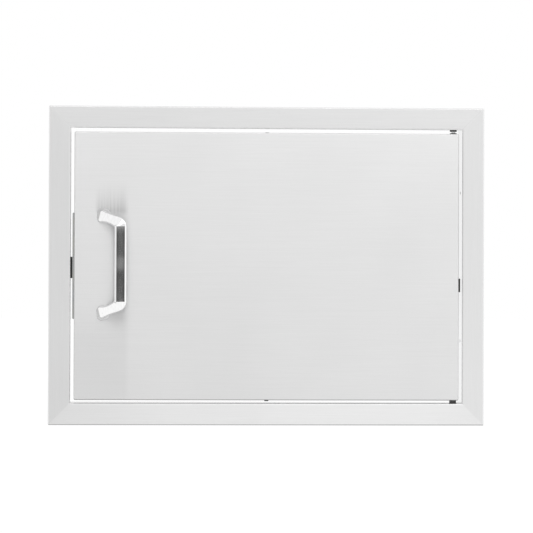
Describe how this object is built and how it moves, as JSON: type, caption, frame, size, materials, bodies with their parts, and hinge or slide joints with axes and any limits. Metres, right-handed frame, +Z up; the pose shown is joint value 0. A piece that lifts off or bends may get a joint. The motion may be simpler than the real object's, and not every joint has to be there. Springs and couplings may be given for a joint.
{
  "type": "outdoor kitchen access door",
  "caption": "Single stainless access door for a barbecue island: face frame with jamb, double-walled swing door on pivot pins, magnetic catch and bow handle.",
  "frame": {"origin": "centre of the door opening, in the plane of the island's face where the flange's edge rests", "axes": "+X to the viewer's right, towards the hinge side; +Y into the island; +Z up"},
  "size_m": [0.673, 0.0961, 0.491],
  "materials": {
    "brushed_frame": "brushed along each member",
    "brushed_door": "brushed across the door",
    "liner_steel": "mill",
    "strike_steel": "dull",
    "pin_steel": "turned",
    "spring_steel": "drawn",
    "zinc_plated": "zinc plated",
    "polished_handle": "polished",
    "black_plastic": "moulded",
    "black_nylon": "moulded",
    "black_rubber": "matt",
    "ferrite": "ground"
  },
  "bodies": {
    "frame": {"frame_rail_top": "brushed_frame", "frame_rail_bottom": "brushed_frame", "frame_stile_left": "brushed_frame", "frame_stile_right": "brushed_frame", "lower_pivot_pin": "pin_steel", "lower_thrust_washer": "black_nylon", "upper_jamb_bushing": "black_nylon", "magnet_catch_housing": "black_plastic", "magnet_catch_magnet": "ferrite", "magnet_catch_poles": "zinc_plated", "magnet_catch_screws": "zinc_plated"},
    "door": {"door_outer_panel": "brushed_door", "door_inner_panel": "liner_steel", "door_stiffener_handle_side": "liner_steel", "door_stiffener_hinge_side": "liner_steel", "upper_hinge_bracket": "zinc_plated", "lower_hinge_bracket": "zinc_plated", "upper_guide_bushing": "black_nylon", "lower_pivot_bushing": "black_nylon", "door_edge_pads": "black_rubber", "strike_plate": "strike_steel", "strike_plate_rivets": "strike_steel", "handle": "polished_handle", "handle_backing_plate": "zinc_plated", "handle_screws": "zinc_plated", "handle_washers": "zinc_plated", "handle_access_plugs": "black_plastic", "upper_pin_spring": "spring_steel"},
    "upper_pin": {"upper_pivot_pin": "pin_steel", "upper_pin_collar": "pin_steel"}
  },
  "joints": [
    {"name": "door_swing", "type": "hinge", "parent": "frame", "child": "door", "pos_m": [0.289, -0.004, 0], "axis": [0, 0, 1], "range_deg": [0, 115]},
    {"name": "upper_pin_slide", "type": "slide", "parent": "door", "child": "upper_pin", "axis": [0, 0, -1], "range_m": [0, 0.0075], "stiffness_N_per_m": 500, "springref_m": -0.006, "deforming": ["upper_pin_spring"]}
  ]
}
